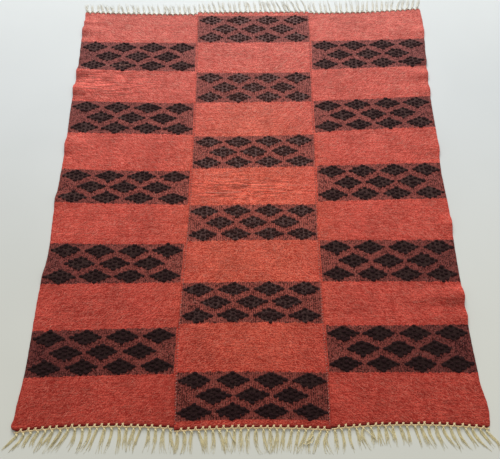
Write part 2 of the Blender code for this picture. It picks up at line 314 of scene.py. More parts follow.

# Colours of the yarns: pale and shaded at the near end, then at the far end; the black pile's far colours
# are paler as painted sheen of the window's light
YARNS = {
    "black_pile": ((0.051, 0.024, 0.024), (0.014, 0.007, 0.008),
                   (0.094, 0.048, 0.049), (0.019, 0.01, 0.011)),
    "fringe_wool": ((0.94, 0.84, 0.53), (0.72, 0.61, 0.32), (0.84, 0.82, 0.74), (0.6, 0.57, 0.48)),
    "binding_wool": ((0.98, 0.77, 0.46), (0.68, 0.49, 0.26), (0.96, 0.93, 0.83), (0.84, 0.76, 0.62)),
    "sewing_thread": ((0.8, 0.4, 0.32), (0.22, 0.06, 0.05), (0.72, 0.36, 0.31), (0.34, 0.12, 0.1)),
    "loose_wool": ((1.0, 0.4, 0.29), (0.9, 0.22, 0.15), (1.0, 0.62, 0.5), (1.0, 0.42, 0.33)),
}
YARNS_END = 0.9  # Y where the yarns have their far colour

# Drawn-out noise: size of its patches across, along and up, their turn, detail and roughness
RISING = 36
FALLING = -34
GRAINS = {
    "rising": ((0.016, 0.0034, 0.01), RISING, 3.0, 0.6),
    "falling": ((0.016, 0.0034, 0.01), FALLING, 3.0, 0.6),
    "level": ((0.02, 0.0036, 0.01), 2, 3.0, 0.6),
    "grain": ((0.0042, 0.0032, 0.004), 0, 2.0, 0.6),
    "tremble": ((0.006, 0.01, 0.006), 0, 1.0, 0.5),
    "weft": ((0.1, 0.0044, 0.1), 0, 2.0, 0.6),
    "streaks_and_ripple_shade": ((0.08, 0.0066, 0.1), 1, 2.0, 0.6),
    "lint": ((0.007, 0.0038, 0.004), 25, 1.0, 0.5),
    "fluff": ((0.0075, 0.0036, 0.004), 0, 2.0, 0.6),
    "dashes": ((0.0038, 0.0048, 0.005), 0, 2.0, 0.65),
    "mottle": ((0.02, 0.014, 0.01), 0, 2.0, 0.5),
    "specks": ((0.0046, 0.005, 0.005), 0, 1.0, 0.5),
    "twist": ((0.0014, 0.004, 0.002), 0, 2.0, 0.5),
}

# Even noise: cells for each metre, detail and roughness
CLOUDS = {
    "patches": (7.0, 3.0, 0.55),
    "clouds": (24.0, 2.0, 0.5),
    "felt": (420.0, 3.0, 0.6),
    "tangle": (700.0, 3.0, 0.65),
    "rust": (140.0, 2.0, 0.5),
    "stain": (22.0, 3.0, 0.5),
    "floor": (1.6, 3.0, 0.5),
}

# Where the wool's nap changes from falling to rising: the middle's Y, and how gently it does
NAP_MIDDLE = -0.1
NAP_BLEND = 0.1

# Streaks of the cloth, which are the wool's own in the centre strip and painted shade of the ripples in the
# left strip, and the paler middle of the rug: middle and half size of each oval
STREAK_AND_SHADE_OVALS = (((-0.03, -0.02), (0.3, 0.09)), ((-0.62, 0.47), (0.34, 0.12)))
PALER_CLOTH_MIDDLE = ((0.0, -0.2), (0.42, 0.85))
PALER_PILE_MIDDLE = ((0.0, 0.2), (0.42, 1.0))

# Ribs of the weave
WARP_PITCH = 0.003
PICK_PITCH = 0.0019
UPRIGHT_PITCH = 0.0074

# Floor and studio light
FLOOR_HALF = 6
FLOOR_DROP = 0.0002
FLOOR_DARK = ((0.735, 0.765, 0.765), (0.8, 0.8, 0.715))
FLOOR_LIGHT = ((0.77, 0.8, 0.8), (0.845, 0.845, 0.76))
SKY_COLOUR = (0.99, 0.995, 1.0, 1)
SKY_STRENGTH = 0.36
Lamp = namedtuple("Lamp", "name place target size power colour")
LAMPS = (
    Lamp("window", (-0.15, 4.5, 2.8), (0, 0.3, 0), 3.0, 262, (1.0, 1.0, 0.99)),
    Lamp("far_glow", (0.0, 2.2, 1.1), (0, 1.0, 0), 0.8, 5, (1.0, 1.0, 1.0)),
    Lamp("fill", (2.4, -1.6, 1.8), (0.6, -0.9, 0), 1.5, 4.5, (1.0, 1.0, 0.97)),
)

rng = random.Random(20)


def mix(first, second, share):
    return first + (second - first) * share


def evenly_spaced(values, share):
    """A value between ones that stand at even steps from the left side to the right side."""
    return float(np.interp(share * (len(values) - 1), range(len(values)), values))


def find(rows, **wanted):
    """Rows of a table whose columns have the wanted values."""
    return [row for row in rows if all(getattr(row, key) == value for key, value in wanted.items())]


def line_at(line, along):
    """X of one of the lengthwise lines, on a smooth curve through the stations."""
    along = np.asarray(along, float)
    knots = np.array([station.along for station in STATIONS])
    values = np.array([getattr(station, line) for station in STATIONS])
    last = len(knots) - 1
    first = np.clip(np.searchsorted(-knots, -along, side="right") - 1, 0, last - 1)
    before, start = values[np.clip(first - 1, 0, last)], values[first]
    stop, after = values[first + 1], values[np.clip(first + 2, 0, last)]
    share = (knots[first] - along) / (knots[first] - knots[first + 1])
    bend = 2 * before - 5 * start + 4 * stop - after
    twist = 3 * (start - stop) + after - before
    return start + 0.5 * share * (stop - before + share * (bend + share * twist))


def across_at(strip_name, along, share):
    strip = STRIPS[strip_name]
    left = line_at(strip.left_line, along) + strip.left_gap
    right = line_at(strip.right_line, along) - strip.right_gap
    return mix(left, right, share)


def strip_spans(strip_name):
    """Stretches of a strip, far to near: their far and near lines, and whether each is a block.

    A line is Y at the left and right side, and the bow in the middle.
    """
    blocks = find(BLOCKS, strip=strip_name)
    far_end = find(ENDS, strip=strip_name, end="far")[0]
    near_end = find(ENDS, strip=strip_name, end="near")[0]
    lines = [(far_end.left, far_end.right, far_end.middle - (far_end.left + far_end.right) / 2)]
    for block in blocks:
        lines.append((block.far_left, block.far_right, block.far_bow))
        lines.append((block.near_left, block.near_right, block.near_bow))
    near_bow = near_end.middle - (near_end.left + near_end.right) / 2
    lines.append((near_end.left, near_end.right, near_bow))
    return [(lines[index], lines[index + 1], index % 2 == 1) for index in range(len(lines) - 1)]


def along_at(line, share):
    """Y of a line at a share of the strip's width; a bowed line is a parabola."""
    left, right, bow = line
    return mix(left, right, share) + bow * 4 * share * (1 - share)


def smooth_step(value):
    value = np.clip(value, 0.0, 1.0)
    return value * value * (3 - 2 * value)


def wave_field(across, along, scale, seed):
    """Smooth noise from -1 to 1 at many places."""
    flat = np.stack([np.ravel(across) * scale, np.ravel(along) * scale], axis=1)
    values = [noise.noise(Vector((x, y, seed))) for x, y in flat]
    return np.array(values).reshape(np.shape(across))


def ripple_lift(strip_name, across, along):
    height = np.zeros(np.shape(across))
    for ripple in find(RIPPLES, strip=strip_name):
        selvedge = line_at(ripple.strip + "_selvedge", along)
        inward = np.abs(across - selvedge)
        offset = np.abs(along - ripple.along - ripple.slant * inward) / ripple.half_length
        swell = np.clip(1 - offset * offset, 0, None) ** 2
        fade = np.clip(1 - inward / ripple.reach, 0, None) ** 2
        height += ripple.height * swell * fade
    return height


def underside(strip_name, across, along):
    """Height of the cloth's underside over the floor."""
    soft = wave_field(across, along, UNDULATION_SCALE, UNDULATION_SEED)
    height = ripple_lift(strip_name, across, along) + UNDULATION * np.clip(soft + 0.25, 0, None)
    for line in ("left_join", "right_join"):
        beside = np.abs(across - line_at(line, along))
        near_join = np.clip(1 - beside / PUCKER_REACH, 0, 1) ** 2
        pull = wave_field(across * 0.35, along, PUCKER_SCALE, PUCKER_SEED)
        height += PUCKER * near_join * np.clip(pull + 0.2, 0, None)
    return height


def topside(strip_name, across, along):
    return underside(strip_name, across, along) + THICKNESS


def top_point(strip_name, across, along):
    """Height of the cloth's top at one place."""
    return float(topside(strip_name, np.array([across]), np.array([along]))[0])


class Shape:
    """Points and faces that are gathered into one mesh."""

    def __init__(self):
        self.points = []
        self.faces = []
        self.finishes = []

    def add(self, points, faces, finish=0):
        start = len(self.points)
        self.points.extend(points)
        self.faces.extend(tuple(index + start for index in face) for face in faces)
        self.finishes.extend([finish] * len(faces))

    def tube(self, path, radius, sides, taper=None, finish=0):
        """A closed tube along a path; taper gives each point's share of the radius."""
        path = [Vector(point) for point in path]
        rings = len(path)
        points = []
        for index, point in enumerate(path):
            ahead = path[min(index + 1, rings - 1)] - path[max(index - 1, 0)]
            ahead.normalize()
            across = ahead.cross(Vector((0, 0, 1)))
            if across.length < 1e-4:
                across = ahead.cross(Vector((1, 0, 0)))
            across.normalize()
            up = across.cross(ahead)
            size = radius * (taper[index] if taper else 1.0)
            for step in range(sides):
                angle = 2 * math.pi * step / sides
                points.append(point + (across * math.cos(angle) + up * math.sin(angle)) * size)
        faces = []
        for ring in range(rings - 1):
            for step in range(sides):
                a = ring * sides + step
                b = ring * sides + (step + 1) % sides
                faces.append((a, b, b + sides, a + sides))
        faces.append(tuple(reversed(range(sides))))
        faces.append(tuple(range((rings - 1) * sides, rings * sides)))
        self.add(points, faces, finish)

    def link(self, name, *materials):
        """A new mesh object in the scene; each face's finish is the number of its material."""
        mesh = bpy.data.meshes.new(name)
        mesh.from_pydata([tuple(point) for point in self.points], [], self.faces)
        for material in materials:
            mesh.materials.append(material)
        mesh.polygons.foreach_set("material_index", self.finishes)
        mesh.shade_smooth()
        piece = bpy.data.objects.new(name, mesh)
        bpy.context.scene.collection.objects.link(piece)
        return piece


class Graph:
    """Short calls that build a material's nodes."""

    def __init__(self, name):
        self.material = bpy.data.materials.new(name)
        self.material.use_nodes = True
        self.nodes = self.material.node_tree.nodes
        self.links = self.material.node_tree.links
        self.shader = self.nodes["Principled BSDF"]

    def put(self, socket, value):
        if isinstance(value, bpy.types.NodeSocket):
            self.links.new(value, socket)
        elif socket.type == "RGBA":
            socket.default_value = (*value, 1.0)
        else:
            socket.default_value = value

    def node(self, kind, inputs, **settings):
        """A new node whose inputs are set to values or linked to other nodes' outputs."""
        made = self.nodes.new(kind)
        for name, value in settings.items():
            setattr(made, name, value)
        for socket, value in inputs.items():
            self.put(made.inputs[socket], value)
        return made

    def math(self, operation, first, second=0.0):
        return self.node("ShaderNodeMath", {0: first, 1: second}, operation=operation).outputs[0]

    def times(self, first, second):
        return self.math("MULTIPLY", first, second)

    def total(self, *shares):
        """Sum of values, each times its weight."""
        result = 0.0
        for value, weight in shares:
            result = self.math("ADD", self.times(value, weight), result)
        return result

    def blend(self, factor, first, second, mode="MIX"):
        inputs = {0: factor, 6: first, 7: second}
        return self.node("ShaderNodeMix", inputs, data_type="RGBA", blend_type=mode).outputs[2]

    def tinted(self, colour, tint):
        return self.blend(1.0, colour, tint, "MULTIPLY")

    def scaled(self, colour, value):
        """A colour times a value."""
        inputs = {0: colour, "Scale": value}
        return self.node("ShaderNodeVectorMath", inputs, operation="SCALE").outputs[0]

    def place(self):
        return self.node("ShaderNodeTexCoord", {}).outputs["Object"]

    def stretched(self, vector, size, turn=0.0, middle=(0.0, 0.0)):
        """Coordinates in which one unit is a patch of the given size, turned about Z."""
        inputs = {"Vector": vector, "Location": (*middle, 0.0), "Scale": size,
                  "Rotation": (0, 0, math.radians(turn))}
        return self.node("ShaderNodeMapping", inputs, vector_type="TEXTURE").outputs[0]

    def oval(self, place, middle, size):
        """1 in the core of an oval on the rug, and 0 outside the oval."""
        inputs = {0: self.stretched(place, (*size, 1.0), 0.0, middle)}
        node = self.node("ShaderNodeVectorMath", inputs, operation="LENGTH")
        return self.span(node.outputs["Value"], 0.25, 1.0, 1.0, 0.0)

    def noise(self, vector, scale, detail, roughness):
        inputs = {"Vector": vector, "Scale": scale, "Detail": detail, "Roughness": roughness}
        return self.node("ShaderNodeTexNoise", inputs).outputs["Fac"]

    def grain(self, vector, name):
        """One kind of drawn-out noise."""
        size, turn, detail, roughness = GRAINS[name]
        return self.noise(self.stretched(vector, size, turn), 1.0, detail, roughness)

    def ribs(self, vector, pitch, axis, distortion):
        """Parallel ribs, one in each pitch, along the other axis."""
        inputs = {"Vector": vector, "Scale": math.pi / 10 / pitch, "Distortion": distortion,
                  "Detail Scale": 2.0}
        return self.node("ShaderNodeTexWave", inputs, bands_direction=axis).outputs["Fac"]

    def ramp(self, value, start, middle, stop):
        """Three colours in turn, at 0, a half and 1."""
        node = self.node("ShaderNodeValToRGB", {0: value})
        node.color_ramp.elements[0].color = (*start, 1.0)
        node.color_ramp.elements[1].color = (*stop, 1.0)
        node.color_ramp.elements.new(0.5).color = (*middle, 1.0)
        return node.outputs[0]

    def span(self, value, low, high, to_low=0.0, to_high=1.0, kind="SMOOTHSTEP"):
        inputs = {"Value": value, "From Min": low, "From Max": high, "To Min": to_low, "To Max": to_high}
        return self.node("ShaderNodeMapRange", inputs, interpolation_type=kind).outputs[0]

    def swing(self, value, middle, amount):
        """Noise turned into a change by up to an amount, either way from the middle."""
        return self.span(value, 0.2, 0.8, middle - amount, middle + amount)

    def tone(self, value, amount):
        """Noise turned into lighter and darker patches."""
        return self.span(value, 0.3, 0.7, -amount, amount)

    def split(self, vector):
        return self.node("ShaderNodeSeparateXYZ", {0: vector}).outputs

    def attribute(self, name):
        return self.node("ShaderNodeAttribute", {}, attribute_name=name).outputs["Fac"]

    def bump(self, height, distance, strength=1.0, normal=None):
        inputs = {"Height": height, "Distance": distance, "Strength": strength}
        if normal is not None:
            inputs["Normal"] = normal
        return self.node("ShaderNodeBump", inputs).outputs[0]

    def finish(self, colour, normal=None, roughness=0.95, sheen=0.0, sheen_tint=(1, 1, 1)):
        inputs = {"Base Color": colour, "Roughness": roughness, "Specular IOR Level": 0.02,
                  "Sheen Weight": sheen, "Sheen Roughness": 0.5, "Sheen Tint": sheen_tint}
        if normal is not None:
            inputs["Normal"] = normal
        for socket, value in inputs.items():
            self.put(self.shader.inputs[socket], value)
        return self.material


def heather(graph, place, spot, softness):
    """Flecks of lighter and darker wool, brushed away from the rug's middle, from 0 to 1."""
    quarter = graph.times(spot[0], graph.math("ADD", spot[1], -NAP_MIDDLE))
    lean = graph.span(quarter, -NAP_BLEND, NAP_BLEND)
    brushed = graph.total(
        (graph.grain(place, "rising"), lean),
        (graph.grain(place, "falling"), graph.math("SUBTRACT", 1.0, lean)),
    )
    mixed = graph.total(
        (brushed, 0.33),
        (graph.grain(place, "level"), 0.21),
        (graph.grain(place, "grain"), 0.46),
    )
    return graph.span(mixed, 0.5 - softness, 0.5 + softness)


def cloth_material(strip_name):
    """Red heathered cloth with dark blocks; the pattern follows the strip's own coordinates.

    A course of the pattern is one stretch of red field and the block that follows it.
    """
    wool = WOOLS[strip_name]
    graph = Graph("wool_" + strip_name)
    place = graph.place()
    spot = graph.split(place)
    pattern = graph.node("ShaderNodeUVMap", {}, uv_map="pattern")
    share, course, _ = graph.split(pattern.outputs[0])
    tremble = graph.grain(place, "tremble")
    wobble = graph.swing(tremble, BLOCK_MARGIN, RAGGED_ENDS)
    phase = graph.math("FRACT", graph.math("ADD", course, wobble))
    in_block = graph.math("LESS_THAN", phase, 0.5 + 2 * BLOCK_MARGIN)
    ragged = graph.math("ADD", share, graph.swing(tremble, 0.0, RAGGED_SIDES))
    if strip_name != "left":
        in_block = graph.times(in_block, graph.math("GREATER_THAN", ragged, JOIN_MARGIN))
    if strip_name != "right":
        in_block = graph.times(in_block, graph.math("LESS_THAN", ragged, 1 - JOIN_MARGIN))

    # Place from the near end to the far end; the colours picked by it grow paler towards the far end as
    # painted sheen and glare
    length = graph.span(spot[1], -0.85, 0.85, kind="LINEAR")
    flecks = heather(graph, place, spot, wool.softness)
    field = graph.blend(flecks, graph.ramp(length, *FIELD_DEEP), graph.ramp(length, *FIELD_LIGHT))
    lint = graph.span(graph.grain(place, "lint"), 0.6, 0.76, 0.0, 0.6)
    field = graph.blend(lint, field, graph.ramp(length, *FIELD_LINT))
    # Lighter and darker streaks along the weft in two ovals: the wool's own in the centre strip, painted
    # shade of the ripples in the left strip
    streaks_and_ripple_shade = graph.span(graph.grain(place, "streaks_and_ripple_shade"), 0.37, 0.63, -0.36, 0.36)
    tone = graph.total(
        (graph.tone(graph.noise(place, *CLOUDS["patches"]), 0.1), 1.0),
        (graph.tone(graph.noise(place, *CLOUDS["clouds"]), 0.06), 1.0),
        (graph.tone(graph.grain(place, "weft"), 0.13), 1.0),
        *((streaks_and_ripple_shade, graph.oval(place, *oval)) for oval in STREAK_AND_SHADE_OVALS),
    )
    field = graph.scaled(field, graph.math("ADD", tone, 1.0 + wool.lightness))
    field = paler_middle(graph, place, field, FIELD_TINT, PALER_CLOTH_MIDDLE)

    ground = block_ground(graph, place, length, share, strip_name)
    beside, underlay = lozenge_masks(graph, share, phase, tremble)
    red_share = graph.times(beside, graph.span(flecks, 0.3, 0.8, 0.0, 0.66))
    ground = graph.blend(red_share, ground, graph.ramp(length, *RED_LINE))
    ground = paler_middle(graph, place, ground, GROUND_TINT, PALER_CLOTH_MIDDLE)
    pale = graph.scaled(graph.ramp(length, *UNDER_PALE), wool.net)
    fluff = graph.span(graph.grain(place, "fluff"), 0.36, 0.62)
    under = graph.blend(fluff, graph.ramp(length, *UNDER_DARK), pale)
    ground = graph.blend(underlay, ground, under)
    colour = graph.blend(in_block, field, ground)
    near_end = graph.span(length, 0.4, 0.6, 0.8, 0.18)
    at_end = graph.span(graph.attribute("end_gap"), 0.002, 0.014, 1.0, 0.0)
    colour = graph.blend(graph.times(near_end, at_end), colour, END_SHADE)

    ribs = graph.ribs(place, WARP_PITCH, "X", 1.0)
    picks = graph.ribs(place, PICK_PITCH, "Y", 1.0)
    normal = graph.bump(graph.times(ribs, picks), 0.0006)
    normal = graph.bump(graph.noise(place, *CLOUDS["felt"]), 0.0006, 0.8, normal)
    normal = graph.bump(flecks, 0.0009, 0.7, normal)
    return graph.finish(colour, normal, 0.95, 0.1, (1.0, 0.7, 0.62))


def paler_middle(graph, place, colour, tint, oval):
    """The middle of the rug is paler: its colour there is multiplied by a tint."""
    return graph.blend(graph.oval(place, *oval), colour, graph.tinted(colour, tint))


def block_ground(graph, place, length, share, strip_name):
    """Brown ground of the blocks: upright ribs of red and black wool, darker at a selvedge."""
    upright = WOOLS[strip_name].upright
    mixed = graph.total(
        (graph.ribs(place, UPRIGHT_PITCH, "X", 1.8), upright),
        (graph.grain(place, "dashes"), 0.8 - upright),
        (graph.grain(place, "mottle"), 0.2),
    )
    dark = graph.ramp(length, *GROUND_DARK)
    ground = graph.blend(graph.span(mixed, 0.42, 0.59), dark, graph.ramp(length, *GROUND_PALE))
    specks = graph.span(graph.grain(place, "specks"), 0.6, 0.72, 0.0, 0.8)
    ground = graph.blend(specks, ground, graph.ramp(length, *GROUND_LINT))
    if strip_name == "centre":
        return ground
    outward = graph.math("SUBTRACT", 1.0, share) if strip_name == "left" else share
    depth = graph.times(graph.span(length, 0.1, 0.5, 1.0, 0.55), graph.span(outward, 0.15, 0.95))
    return graph.blend(depth, ground, graph.tinted(ground, SELVEDGE_TINT))


def lozenge_masks(graph, share, phase, tremble):
    """How near a place lies to the lozenges, and whether it lies under one."""
    column = graph.times(share, float(HALF_PITCHES))
    row = graph.times(graph.math("SUBTRACT", phase, BLOCK_MARGIN), 4.0 * LOZENGE_ROWS)
    number = graph.math("FLOOR", graph.times(row, 0.5))
    narrow = graph.math("MODULO", graph.math("ADD", number, 2.0), 2.0)
    from_row = graph.math("SUBTRACT", graph.math("MODULO", row, 2.0), 1.0)
    shifted = graph.math("MODULO", graph.math("ADD", column, narrow), 2.0)
    reach = graph.total(
        (graph.math("ABSOLUTE", graph.math("SUBTRACT", shifted, 1.0)), 2 / sum(LOZENGE_WIDTHS)),
        (graph.math("ABSOLUTE", from_row), 1 / LOZENGE_LENGTH),
    )
    from_middle = graph.math("ABSOLUTE", graph.math("SUBTRACT", column, HALF_PITCHES / 2))
    outside = graph.times(narrow, graph.math("GREATER_THAN", from_middle, 3.0))
    reach = graph.math("ADD", reach, outside)
    uneven = graph.math("ADD", reach, graph.swing(tremble, 0.0, RAGGED_LOZENGES))
    return graph.span(reach, 1.1, 1.6, 1.0, 0.0), graph.span(uneven, 0.86, 1.1, 1.0, 0.0)


def strip_rows(strip_name):
    """Rows of the cloth's grid: for each, its line and its place in the pattern."""
    rows = []
    spans = strip_spans(strip_name)
    for index, (start, stop, _) in enumerate(spans):
        steps = max(2, round((start[0] - stop[0]) / GRID_STEP))
        for step in range(steps):
            share = step / steps
            line = tuple(mix(a, b, share) for a, b in zip(start, stop))
            rows.append((line, (index + 1 + share) / 2))
    rows.append((spans[-1][1], (len(spans) + 1) / 2))
    return rows


def strip_columns(width):
    """Shares of the width where the cloth's columns lie, closer together at the sides."""
    edge = [step / width for step in EDGE_STEPS]
    first = FIRST_COLUMN / width
    inner = np.linspace(first, 1 - first, round(width / GRID_STEP) - 2)
    return np.array(edge + list(inner) + [1 - step for step in reversed(edge)])


def shape_selvedge(strip_name, across, along, shares):
    """Makes an outer edge wander a little, and rounds its corners."""
    outer = {"left": 0, "right": -1}.get(strip_name)
    if outer is None:
        return across
    inward = 1 if strip_name == "left" else -1
    edge = along[:, outer]
    shift = wave_field(edge, edge * 0, WANDER_SCALE, WANDER_SEED) * SELVEDGE_WANDER
    if strip_name == "left":
        shift -= CORNER_BULGE * np.exp(-((edge - BULGE_ALONG) / BULGE_LENGTH) ** 2)
    for end, end_gap in (("far", edge[0] - edge), ("near", edge - edge[-1])):
        radius = CORNER_RADII[strip_name, end]
        close = np.clip(1 - end_gap / radius, 0, 1)
        shift += inward * radius * (1 - np.sqrt(1 - close * close))
    fade = np.clip(1 - np.abs(shares - shares[outer]) * WANDER_FADE, 0, 1)
    return across + shift[:, None] * fade[None, :]


def make_cloth(strip_name):
    """One woven strip as a thin closed sheet."""
    rows = strip_rows(strip_name)
    shares = strip_columns(STRIP_WIDTH)
    along = np.array([along_at(line, shares) for line, _ in rows])
    across = across_at(strip_name, along, shares[None, :])
    flat_width = float(np.mean(across[:, -1] - across[:, 0]))
    across = shape_selvedge(strip_name, across, along, shares)
    low = underside(strip_name, across, along)
    left_rounding = SELVEDGE_ROUNDING if strip_name == "left" else JOIN_ROUNDING
    right_rounding = SELVEDGE_ROUNDING if strip_name == "right" else JOIN_ROUNDING
    from_side = np.minimum(shares / left_rounding, (1 - shares) / right_rounding) * flat_width
    rounding = np.sqrt(1 - np.clip(1 - from_side, 0, 1) ** 2)
    high = low + THICKNESS * mix(EDGE_THICKNESS, 1.0, rounding)[None, :]
    count_rows, count_columns = across.shape
    top = np.stack([across, along, high], axis=2).reshape(-1, 3)
    bottom = np.stack([across, along, low], axis=2).reshape(-1, 3)
    shape = Shape()
    shape.add(list(np.vstack([top, bottom])), sheet_faces(count_rows, count_columns))
    piece = shape.link("cloth_" + strip_name, cloth_material(strip_name))
    courses = np.array([course for _, course in rows])
    pattern = np.stack(np.broadcast_arrays(shares[None, :], courses[:, None]), axis=2).reshape(-1, 2)
    layer = piece.data.uv_layers.new(name="pattern")
    corner_points = np.empty(len(piece.data.loops), dtype=np.int64)
    piece.data.loops.foreach_get("vertex_index", corner_points)
    layer.data.foreach_set("uv", pattern[corner_points % len(top)].astype(np.float32).ravel())
    end_gap = np.minimum(along[0][None, :] - along, along - along[-1][None, :])
    gaps = piece.data.attributes.new("end_gap", "FLOAT", "POINT")
    gaps.data.foreach_set("value", np.tile(end_gap.ravel(), 2).astype(np.float32))
    length = float(np.mean(along[0]) - np.mean(along[-1]))
    return piece, (flat_width, length)


def sheet_faces(rows, columns):
    """Quads of a top grid, far to near, and of a bottom grid whose points follow it, and the rim."""
    faces = []
    below = rows * columns
    for row in range(rows - 1):
        for column in range(columns - 1):
            a = row * columns + column
            b = a + 1
            c = b + columns
            d = a + columns
            faces.append((a, d, c, b))
            faces.append((a + below, b + below, c + below, d + below))
    ring = list(range(columns))
    ring += [row * columns + columns - 1 for row in range(1, rows)]
    ring += [(rows - 1) * columns + column for column in range(columns - 2, -1, -1)]
    ring += [row * columns for row in range(rows - 2, 0, -1)]
    for index, point in enumerate(ring):
        after = ring[(index + 1) % len(ring)]
        faces.append((point, after, after + below, point + below))
    return faces


def lozenge_middles(strip_name):
    """Middle of each lozenge, and its half width and half length."""
    found = []
    for start, stop, is_block in strip_spans(strip_name):
        if not is_block:
            continue
        for number in range(LOZENGE_ROWS):
            columns = (2, 4, 6) if number % 2 else (1, 3, 5, 7)
            for column in columns:
                share = column / HALF_PITCHES
                down = (2 * number + 1) / (2 * LOZENGE_ROWS)
                far, near = along_at(start, share), along_at(stop, share)
                along = mix(far, near, down)
                left = across_at(strip_name, along, share - 1 / HALF_PITCHES)
                right = across_at(strip_name, along, share + 1 / HALF_PITCHES)
                middle = (float(left + right) / 2, float(along))
                width = mix(*LOZENGE_WIDTHS, (along + HALF_LENGTH) / (2 * HALF_LENGTH))
                half_length = (far - near) / (2 * LOZENGE_ROWS) * LOZENGE_LENGTH
                found.append((middle, float(right - left) / 2 * width, half_length))
    return found


def make_lozenges(strip_name, material):
    """All the knotted lozenges of a strip, in one mesh."""
    spots = []
    half = (KNOTS_A_SIDE - 1) / 2
    for (across, along), half_width, half_length in lozenge_middles(strip_name):
        step_across = (half_width - KNOT_REACH[0]) / (2 * half)
        step_along = (half_length - KNOT_REACH[1]) / (2 * half)
        for first in range(KNOTS_A_SIDE):
            for second in range(KNOTS_A_SIDE):
                pull = 1 - TIP_PULL * abs(first - second) / (KNOTS_A_SIDE - 1)
                x = (first - second) * step_across * pull
                y = (first + second - 2 * half) * step_along
                spots.append((
                    across + x + rng.gauss(0, KNOT_JITTER),
                    along + y + rng.gauss(0, KNOT_JITTER),
                ))
    spots = np.array(spots)
    heights = topside(strip_name, spots[:, 0], spots[:, 1])
    shape = Shape()
    for (x, y), z in zip(spots, heights):
        add_pile_knot(shape, x, y, z)
    return shape.link("lozenges_" + strip_name, material)


def add_pile_knot(shape, x, y, z):
    """One knot of thick wool: an uneven bun that sits in the cloth."""
    turn = rng.uniform(0, 1)
    size = rng.uniform(0.66, 1.28)
    rise = KNOT_RISE * rng.uniform(0.7, 1.2)
    points = []
    for level, girth in KNOT_RINGS:
        for step in range(KNOT_SIDES):
            angle = 2 * math.pi * (step + turn) / KNOT_SIDES
            reach = girth * size * rng.uniform(0.78, 1.2)
            points.append((
                x + KNOT_REACH[0] * reach * math.cos(angle),
                y + KNOT_REACH[1] * reach * math.sin(angle),
                z + rise * level,
            ))
    points.append((x, y, z + rise))
    faces = [tuple(reversed(range(KNOT_SIDES)))]
    for step in range(KNOT_SIDES):
        after = (step + 1) % KNOT_SIDES
        for ring in (0, KNOT_SIDES):
            faces.append((ring + step, ring + after, ring + after + KNOT_SIDES, ring + step + KNOT_SIDES))
        faces.append((2 * KNOT_SIDES + step, 2 * KNOT_SIDES + after, 3 * KNOT_SIDES))
    shape.add(points, faces)


def yarn_colours(graph, name):
    """Pale and shaded colour of a yarn, which change from the near end to the far end."""
    far_share = graph.span(graph.split(graph.place())[1], -YARNS_END, YARNS_END)
    pale, shaded, far_pale, far_shaded = YARNS[name]
    return graph.blend(far_share, pale, far_pale), graph.blend(far_share, shaded, far_shaded)


def pile_material():
    graph = Graph("black_pile")
    place = graph.place()
    # The pile's colours grow paler towards the far end: painted sheen of the window's light
    light, dark = yarn_colours(graph, "black_pile")
    tangle = graph.noise(place, *CLOUDS["tangle"])
    colour = graph.blend(graph.span(tangle, 0.42, 0.66), dark, light)
    rust = graph.span(graph.noise(place, *CLOUDS["rust"]), 0.56, 0.75, 0.0, 0.4)
    colour = graph.blend(rust, colour, PILE_RUST)
    # Paler middle of the pile: painted sheen of the window's light
    colour = paler_middle(graph, place, colour, PILE_TINT, PALER_PILE_MIDDLE)
    return graph.finish(colour, graph.bump(tangle, 0.0012), 1.0, 0.02, (1.0, 0.7, 0.65))


def yarn_material(name):
    graph = Graph(name)
    place = graph.place()
    light, dark = yarn_colours(graph, name)
    twist = graph.grain(place, "twist")
    colour = graph.blend(graph.span(twist, 0.32, 0.68), dark, light)
    stain = graph.span(graph.noise(place, *CLOUDS["stain"]), 0.45, 0.75, 0.0, 0.4)
    colour = graph.blend(stain, colour, dark)
    return graph.finish(colour, graph.bump(twist, 0.0008), 0.95, 0.1, (1, 0.95, 0.85))


def trimmed(across, along):
    across = min(max(across, -HALF_WIDTH), HALF_WIDTH)
    along = min(max(along, -HALF_LENGTH), HALF_LENGTH)
    return across, along


def make_fringe(fringe, lock_noise, wool, binding):
    """Knotted warp yarns at one end of a strip, with the yarn that binds the cloth's edge."""
    spans = strip_spans(fringe.strip)
    outward = 1 if fringe.end == "far" else -1
    line = spans[0][0] if fringe.end == "far" else spans[-1][1]
    shape = Shape()
    knots = []
    for lock in range(LOCKS_PER_STRIP):
        share = (lock + 0.5) / LOCKS_PER_STRIP
        lean = evenly_spaced(fringe.leans, share) + lock_noise.uniform(-LEAN_SPREAD, LEAN_SPREAD)
        reach = evenly_spaced(fringe.reaches, share) + lock_noise.uniform(-LENGTH_SPREAD, LENGTH_SPREAD)
        edge = float(along_at(line, share))
        root = float(across_at(fringe.strip, edge, share))
        knot = Vector((
            root + rng.gauss(0, 0.0012),
            edge + outward * (KNOT_OUT[fringe.end] + rng.gauss(0, 0.001)),
            KNOT_HEIGHT,
        ))
        knots.append((knot, edge))
        add_roots(shape, root, edge, knot, outward)
        add_lock(shape, knot, outward, lean, reach - KNOT_OUT[fringe.end])
        add_knot(shape, knot, outward)
    add_band(shape, fringe.strip, line, outward, BAND_OUT[fringe.end])
    add_stitches(shape, fringe.strip, knots, outward, BAND_OUT[fringe.end])
    if fringe.end == "near":
        for places in metres(STRAYS[fringe.strip]):
            add_stray(shape, places)
    return shape.link("fringe_" + fringe.end + "_" + fringe.strip + "_yarns", wool, binding)


def add_roots(shape, root, edge, knot, outward):
    """Warp yarns that come out under the binding and gather in the knot."""
    for yarn in range(ROOTS_PER_LOCK):
        from_middle = yarn - (ROOTS_PER_LOCK - 1) / 2
        start = root + from_middle * ROOT_STEP + rng.gauss(0, 0.0005)
        path = []
        for step in range(4):
            share = step / 3
            path.append((
                mix(start, knot.x, smooth_step(share)),
                mix(edge - outward * 0.002, knot.y, share),
                mix(0.0016, knot.z - 0.001, share),
            ))
        shape.tube(path, ROOT_RADIUS, 5)


